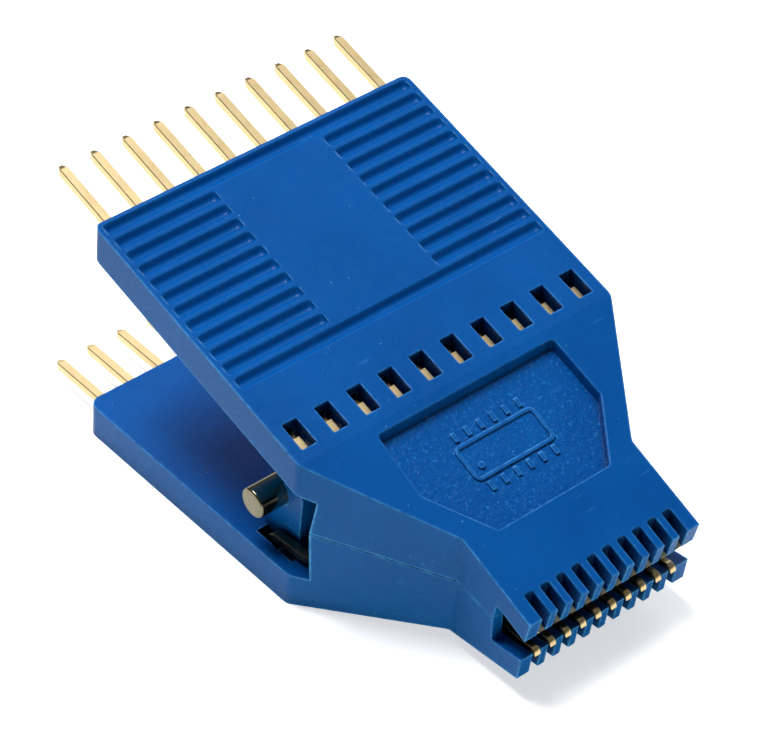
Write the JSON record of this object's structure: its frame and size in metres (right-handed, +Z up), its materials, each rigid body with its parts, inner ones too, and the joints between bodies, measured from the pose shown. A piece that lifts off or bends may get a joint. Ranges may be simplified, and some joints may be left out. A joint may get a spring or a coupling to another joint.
{
  "type": "small-outline chip test clip",
  "caption": "Spring-loaded clip with two hinged halves, comb jaws that grip a chip's legs, and rows of header pins behind ribbed handles.",
  "frame": {"origin": "on the lower handle's outer face, mid-width, 8 mm in from its rear edge; the clip rests on this face", "axes": "+X along the hinge dowel, -Y towards the nose and jaws, +Y towards the header pins, +Z up from the rest face"},
  "size_m": [0.0262, 0.0443, 0.0202],
  "materials": {
    "upper_plastic": "satin moulded blue",
    "lower_plastic": "satin moulded blue",
    "contact_gold": "gold plated",
    "dowel_steel": "ground",
    "spring_wire": "drawn wire"
  },
  "bodies": {
    "lower_half": {"lower_body": "lower_plastic", "hinge_dowel": "dowel_steel", "torsion_spring": "spring_wire", "lower_contact_01": "contact_gold", "lower_contact_02": "contact_gold", "lower_contact_03": "contact_gold", "lower_contact_04": "contact_gold", "lower_contact_05": "contact_gold", "lower_contact_06": "contact_gold", "lower_contact_07": "contact_gold", "lower_contact_08": "contact_gold", "lower_contact_09": "contact_gold", "lower_contact_10": "contact_gold"},
    "upper_half": {"upper_body": "upper_plastic", "upper_contact_01": "contact_gold", "upper_contact_02": "contact_gold", "upper_contact_03": "contact_gold", "upper_contact_04": "contact_gold", "upper_contact_05": "contact_gold", "upper_contact_06": "contact_gold", "upper_contact_07": "contact_gold", "upper_contact_08": "contact_gold", "upper_contact_09": "contact_gold", "upper_contact_10": "contact_gold"}
  },
  "joints": [
    {"name": "jaw_hinge", "type": "hinge", "parent": "lower_half", "child": "upper_half", "pos_m": [0, -0.01086, 0.00661], "axis": [-1, 0, 0], "range_deg": [0, 38], "stiffness_Nm_per_rad": 0.05, "springref_deg": -68.75, "deforming": ["torsion_spring"]}
  ]
}
